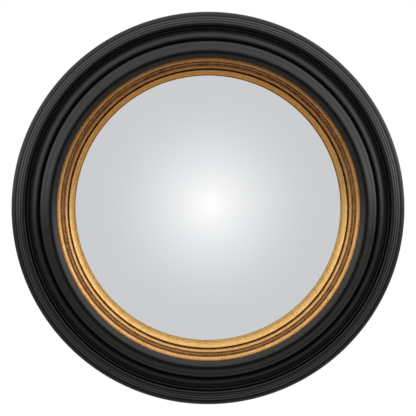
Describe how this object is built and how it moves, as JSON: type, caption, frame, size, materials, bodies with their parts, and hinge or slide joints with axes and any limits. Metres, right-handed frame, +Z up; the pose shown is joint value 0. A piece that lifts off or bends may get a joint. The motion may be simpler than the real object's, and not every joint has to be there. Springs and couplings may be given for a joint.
{
  "type": "convex mirror",
  "caption": "Round convex wall mirror: domed silvered glass in a reeded gilt slip and a wide turned black frame, hung by D-rings on its back.",
  "frame": {"origin": "on the mirror's axis, in the plane of the wall, where the faces of the rubber bumpers lie", "axes": "+X to the right as seen from the front, +Y from the front to the wall, +Z up"},
  "size_m": [0.5999, 0.0581, 0.6],
  "materials": {
    "black_lacquer": "satin black lacquer",
    "gilding": "antique gold leaf over red bole",
    "silvered_glass": "polished, silvered on the back",
    "felt": "black felt",
    "cork": "raw cork",
    "hardboard": "raw hardboard",
    "zinc_steel": "zinc plated",
    "rubber": "matt black rubber"
  },
  "bodies": {
    "mirror": {"frame_base_ring": "black_lacquer", "frame_bolection_ring": "black_lacquer", "gilt_slip": "gilding", "mirror_glass": "silvered_glass", "glass_felt_ring": "felt", "setting_blocks": "cork", "back_board": "hardboard", "turn_button_screws": "zinc_steel", "ring_screws": "zinc_steel", "hanger_screws": "zinc_steel", "hanger_strap_left": "zinc_steel", "hanger_strap_right": "zinc_steel", "wall_bumper_left": "rubber", "wall_bumper_right": "rubber"},
    "ring_left": {"hanger_ring_left": "zinc_steel"},
    "ring_right": {"hanger_ring_right": "zinc_steel"},
    "button_1": {"turn_button_1": "zinc_steel"},
    "button_2": {"turn_button_2": "zinc_steel"},
    "button_3": {"turn_button_3": "zinc_steel"},
    "button_4": {"turn_button_4": "zinc_steel"},
    "button_5": {"turn_button_5": "zinc_steel"},
    "button_6": {"turn_button_6": "zinc_steel"},
    "button_7": {"turn_button_7": "zinc_steel"},
    "button_8": {"turn_button_8": "zinc_steel"}
  },
  "joints": [
    {"name": "ring_left_swing", "type": "hinge", "parent": "mirror", "child": "ring_left", "pos_m": [-0.16962, -0.0033, 0.18839], "axis": [-1, 0, 0], "range_deg": [0, 175]},
    {"name": "ring_right_swing", "type": "hinge", "parent": "mirror", "child": "ring_right", "pos_m": [0.16962, -0.0033, 0.18839], "axis": [-1, 0, 0], "range_deg": [0, 175]},
    {"name": "button_1_turn", "type": "hinge", "parent": "mirror", "child": "button_1", "pos_m": [0.08515, -0.005, 0.20556], "axis": [0, 1, 0], "continuous": true},
    {"name": "button_2_turn", "type": "hinge", "parent": "mirror", "child": "button_2", "pos_m": [0.20556, -0.005, 0.08515], "axis": [0, 1, 0], "continuous": true},
    {"name": "button_3_turn", "type": "hinge", "parent": "mirror", "child": "button_3", "pos_m": [0.20556, -0.005, -0.08515], "axis": [0, 1, 0], "continuous": true},
    {"name": "button_4_turn", "type": "hinge", "parent": "mirror", "child": "button_4", "pos_m": [0.08515, -0.005, -0.20556], "axis": [0, 1, 0], "continuous": true},
    {"name": "button_5_turn", "type": "hinge", "parent": "mirror", "child": "button_5", "pos_m": [-0.08515, -0.005, -0.20556], "axis": [0, 1, 0], "continuous": true},
    {"name": "button_6_turn", "type": "hinge", "parent": "mirror", "child": "button_6", "pos_m": [-0.20556, -0.005, -0.08515], "axis": [0, 1, 0], "continuous": true},
    {"name": "button_7_turn", "type": "hinge", "parent": "mirror", "child": "button_7", "pos_m": [-0.20556, -0.005, 0.08515], "axis": [0, 1, 0], "continuous": true},
    {"name": "button_8_turn", "type": "hinge", "parent": "mirror", "child": "button_8", "pos_m": [-0.08515, -0.005, 0.20556], "axis": [0, 1, 0], "continuous": true}
  ]
}
